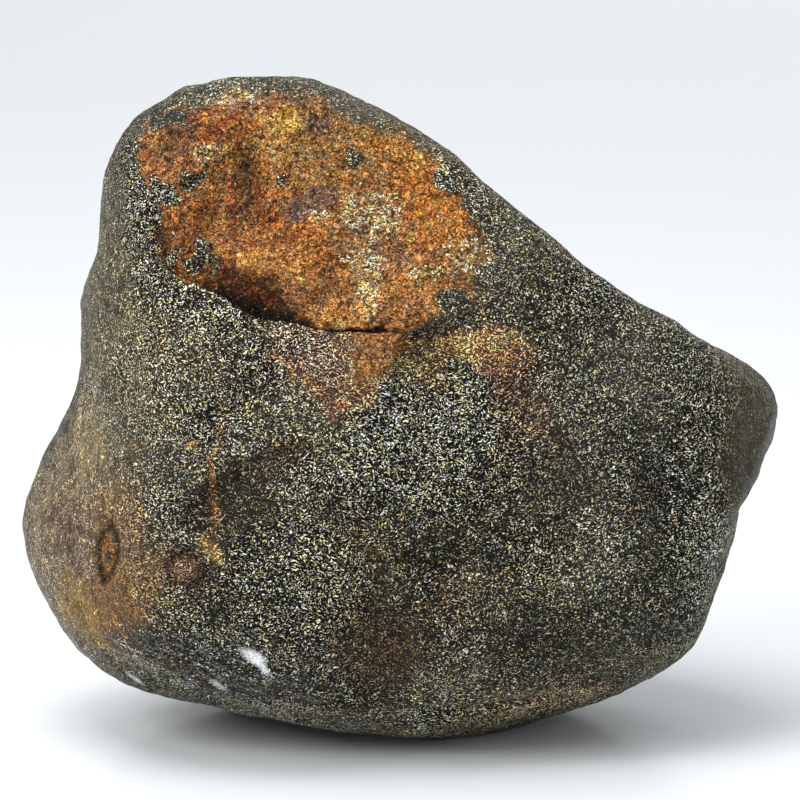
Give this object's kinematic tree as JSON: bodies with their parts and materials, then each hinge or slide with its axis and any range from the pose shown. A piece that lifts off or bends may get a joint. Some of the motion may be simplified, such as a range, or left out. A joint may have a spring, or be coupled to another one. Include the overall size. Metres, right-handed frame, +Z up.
{
  "type": "chondrite meteorite",
  "caption": "Weathered chondrite individual with worn facets, thumbprints, dark crust and a broken rust-brown hollow high on its front; stands on a small flat spot.",
  "frame": {"origin": "middle of the stone's box, on the surface that its flat spot rests on", "axes": "+Z up, -Y out of the front with the broken hollow, +X along the longest extent, towards the narrow nose"},
  "size_m": [0.0599, 0.0433, 0.0527],
  "materials": {
    "crust": "weathered dark fusion crust with fine pale glints, ochre stains and an orange-brown rusted break"
  },
  "bodies": {
    "root": {"stone": "crust"}
  },
  "joints": []
}
